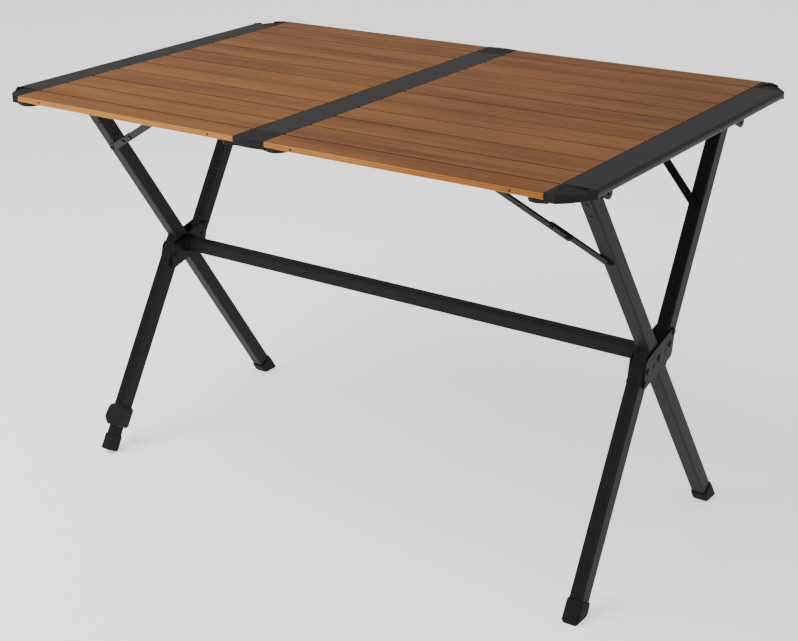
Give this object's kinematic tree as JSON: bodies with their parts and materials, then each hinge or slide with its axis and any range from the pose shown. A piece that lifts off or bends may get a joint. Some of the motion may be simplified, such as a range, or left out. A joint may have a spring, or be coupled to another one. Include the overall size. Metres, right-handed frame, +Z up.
{
  "type": "camping_table",
  "caption": "Folding camping table: two roll-up bamboo slat mats on three short rails over crossed black aluminium legs with a crossbar, knee braces and a levelling foot.",
  "frame": {"origin": "on the ground under the middle of the table top", "axes": "+X along the table's length to the right, +Y from the front edge to the back, +Z up"},
  "size_m": [1.15, 0.7222, 0.715],
  "materials": {
    "bamboo": "satin lacquered bamboo",
    "grey_aluminium": "satin dark grey anodised",
    "black_aluminium": "satin black anodised",
    "black_steel": "satin black",
    "black_nylon": "matte moulded",
    "black_rubber": "matte"
  },
  "bodies": {
    "top": {"left_end_rail": "grey_aluminium", "centre_rail": "grey_aluminium", "right_end_rail": "grey_aluminium", "front_left_cap": "black_nylon", "front_centre_cap": "black_nylon", "front_right_cap": "black_nylon", "back_left_cap": "black_nylon", "back_centre_cap": "black_nylon", "back_right_cap": "black_nylon", "slat_left_01": "bamboo", "slat_right_01": "bamboo", "front_left_head_bracket": "black_steel", "front_right_head_bracket": "black_steel", "back_left_head_bracket": "black_steel", "back_right_head_bracket": "black_steel"},
    "front_frame": {"left_through_leg": "black_aluminium", "right_through_leg": "black_aluminium", "left_outer_hub_plate": "black_steel", "left_inner_hub_plate": "black_steel", "right_outer_hub_plate": "black_steel", "right_inner_hub_plate": "black_steel", "crossbar": "black_aluminium", "front_long_rail": "black_aluminium", "front_left_knee_brace": "black_steel", "front_right_knee_brace": "black_steel", "back_left_foot": "black_rubber", "back_right_foot": "black_rubber"},
    "rear_arms": {"left_upper_leg": "black_aluminium", "right_upper_leg": "black_aluminium", "back_long_rail": "black_aluminium", "back_left_knee_brace": "black_steel", "back_right_knee_brace": "black_steel"},
    "shanks": {"left_lower_leg": "black_aluminium", "right_lower_leg": "black_aluminium", "front_right_foot": "black_rubber", "levelling_collar": "black_nylon"},
    "screw_foot": {"levelling_foot": "black_rubber"},
    "left_slat_02": {"slat_left_02": "bamboo"},
    "left_slat_03": {"slat_left_03": "bamboo"},
    "left_slat_04": {"slat_left_04": "bamboo"},
    "left_slat_05": {"slat_left_05": "bamboo"},
    "left_slat_06": {"slat_left_06": "bamboo"},
    "left_slat_07": {"slat_left_07": "bamboo"},
    "left_slat_08": {"slat_left_08": "bamboo"},
    "left_slat_09": {"slat_left_09": "bamboo"},
    "left_slat_10": {"slat_left_10": "bamboo"},
    "left_slat_11": {"slat_left_11": "bamboo"},
    "left_slat_12": {"slat_left_12": "bamboo"},
    "right_slat_02": {"slat_right_02": "bamboo"},
    "right_slat_03": {"slat_right_03": "bamboo"},
    "right_slat_04": {"slat_right_04": "bamboo"},
    "right_slat_05": {"slat_right_05": "bamboo"},
    "right_slat_06": {"slat_right_06": "bamboo"},
    "right_slat_07": {"slat_right_07": "bamboo"},
    "right_slat_08": {"slat_right_08": "bamboo"},
    "right_slat_09": {"slat_right_09": "bamboo"},
    "right_slat_10": {"slat_right_10": "bamboo"},
    "right_slat_11": {"slat_right_11": "bamboo"},
    "right_slat_12": {"slat_right_12": "bamboo"}
  },
  "joints": [
    {"name": "fold", "type": "hinge", "parent": "front_frame", "child": "rear_arms", "pos_m": [0, 0.03074, 0.35663], "axis": [1, 0, 0], "range_deg": [0, 62]},
    {"name": "lower_fold", "type": "hinge", "parent": "front_frame", "child": "shanks", "pos_m": [0, -0.04374, 0.33634], "axis": [1, 0, 0], "range_deg": [0, 62]},
    {"name": "head_hinge", "type": "hinge", "parent": "top", "child": "front_frame", "pos_m": [0, -0.2186, 0.68865], "axis": [1, 0, 0], "range_deg": [-31, 0]},
    {"name": "foot_screw", "type": "slide", "parent": "shanks", "child": "screw_foot", "axis": [0, -0.5135, -0.8581], "range_m": [0, 0.02]},
    {"name": "left_roll_02", "type": "hinge", "parent": "top", "child": "left_slat_02", "pos_m": [-0.275, -0.309, 0.71], "axis": [1, 0, 0], "range_deg": [0, 28]},
    {"name": "left_roll_03", "type": "hinge", "parent": "left_slat_02", "child": "left_slat_03", "pos_m": [-0.275, -0.2472, 0.71], "axis": [1, 0, 0], "range_deg": [0, 28]},
    {"name": "left_roll_04", "type": "hinge", "parent": "left_slat_03", "child": "left_slat_04", "pos_m": [-0.275, -0.1854, 0.71], "axis": [1, 0, 0], "range_deg": [0, 28]},
    {"name": "left_roll_05", "type": "hinge", "parent": "left_slat_04", "child": "left_slat_05", "pos_m": [-0.275, -0.1236, 0.71], "axis": [1, 0, 0], "range_deg": [0, 28]},
    {"name": "left_roll_06", "type": "hinge", "parent": "left_slat_05", "child": "left_slat_06", "pos_m": [-0.275, -0.0618, 0.71], "axis": [1, 0, 0], "range_deg": [0, 28]},
    {"name": "left_roll_07", "type": "hinge", "parent": "left_slat_06", "child": "left_slat_07", "pos_m": [-0.275, 0, 0.71], "axis": [1, 0, 0], "range_deg": [0, 28]},
    {"name": "left_roll_08", "type": "hinge", "parent": "left_slat_07", "child": "left_slat_08", "pos_m": [-0.275, 0.0618, 0.71], "axis": [1, 0, 0], "range_deg": [0, 28]},
    {"name": "left_roll_09", "type": "hinge", "parent": "left_slat_08", "child": "left_slat_09", "pos_m": [-0.275, 0.1236, 0.71], "axis": [1, 0, 0], "range_deg": [0, 28]},
    {"name": "left_roll_10", "type": "hinge", "parent": "left_slat_09", "child": "left_slat_10", "pos_m": [-0.275, 0.1854, 0.71], "axis": [1, 0, 0], "range_deg": [0, 28]},
    {"name": "left_roll_11", "type": "hinge", "parent": "left_slat_10", "child": "left_slat_11", "pos_m": [-0.275, 0.2472, 0.71], "axis": [1, 0, 0], "range_deg": [0, 28]},
    {"name": "left_roll_12", "type": "hinge", "parent": "left_slat_11", "child": "left_slat_12", "pos_m": [-0.275, 0.309, 0.71], "axis": [1, 0, 0], "range_deg": [0, 28]},
    {"name": "right_roll_02", "type": "hinge", "parent": "top", "child": "right_slat_02", "pos_m": [0.275, -0.309, 0.71], "axis": [1, 0, 0], "range_deg": [0, 28]},
    {"name": "right_roll_03", "type": "hinge", "parent": "right_slat_02", "child": "right_slat_03", "pos_m": [0.275, -0.2472, 0.71], "axis": [1, 0, 0], "range_deg": [0, 28]},
    {"name": "right_roll_04", "type": "hinge", "parent": "right_slat_03", "child": "right_slat_04", "pos_m": [0.275, -0.1854, 0.71], "axis": [1, 0, 0], "range_deg": [0, 28]},
    {"name": "right_roll_05", "type": "hinge", "parent": "right_slat_04", "child": "right_slat_05", "pos_m": [0.275, -0.1236, 0.71], "axis": [1, 0, 0], "range_deg": [0, 28]},
    {"name": "right_roll_06", "type": "hinge", "parent": "right_slat_05", "child": "right_slat_06", "pos_m": [0.275, -0.0618, 0.71], "axis": [1, 0, 0], "range_deg": [0, 28]},
    {"name": "right_roll_07", "type": "hinge", "parent": "right_slat_06", "child": "right_slat_07", "pos_m": [0.275, 0, 0.71], "axis": [1, 0, 0], "range_deg": [0, 28]},
    {"name": "right_roll_08", "type": "hinge", "parent": "right_slat_07", "child": "right_slat_08", "pos_m": [0.275, 0.0618, 0.71], "axis": [1, 0, 0], "range_deg": [0, 28]},
    {"name": "right_roll_09", "type": "hinge", "parent": "right_slat_08", "child": "right_slat_09", "pos_m": [0.275, 0.1236, 0.71], "axis": [1, 0, 0], "range_deg": [0, 28]},
    {"name": "right_roll_10", "type": "hinge", "parent": "right_slat_09", "child": "right_slat_10", "pos_m": [0.275, 0.1854, 0.71], "axis": [1, 0, 0], "range_deg": [0, 28]},
    {"name": "right_roll_11", "type": "hinge", "parent": "right_slat_10", "child": "right_slat_11", "pos_m": [0.275, 0.2472, 0.71], "axis": [1, 0, 0], "range_deg": [0, 28]},
    {"name": "right_roll_12", "type": "hinge", "parent": "right_slat_11", "child": "right_slat_12", "pos_m": [0.275, 0.309, 0.71], "axis": [1, 0, 0], "range_deg": [0, 28]}
  ],
  "couplings": [
    {"joint": "lower_fold", "follows": "fold", "ratio": 1},
    {"joint": "head_hinge", "follows": "fold", "ratio": -0.5}
  ]
}
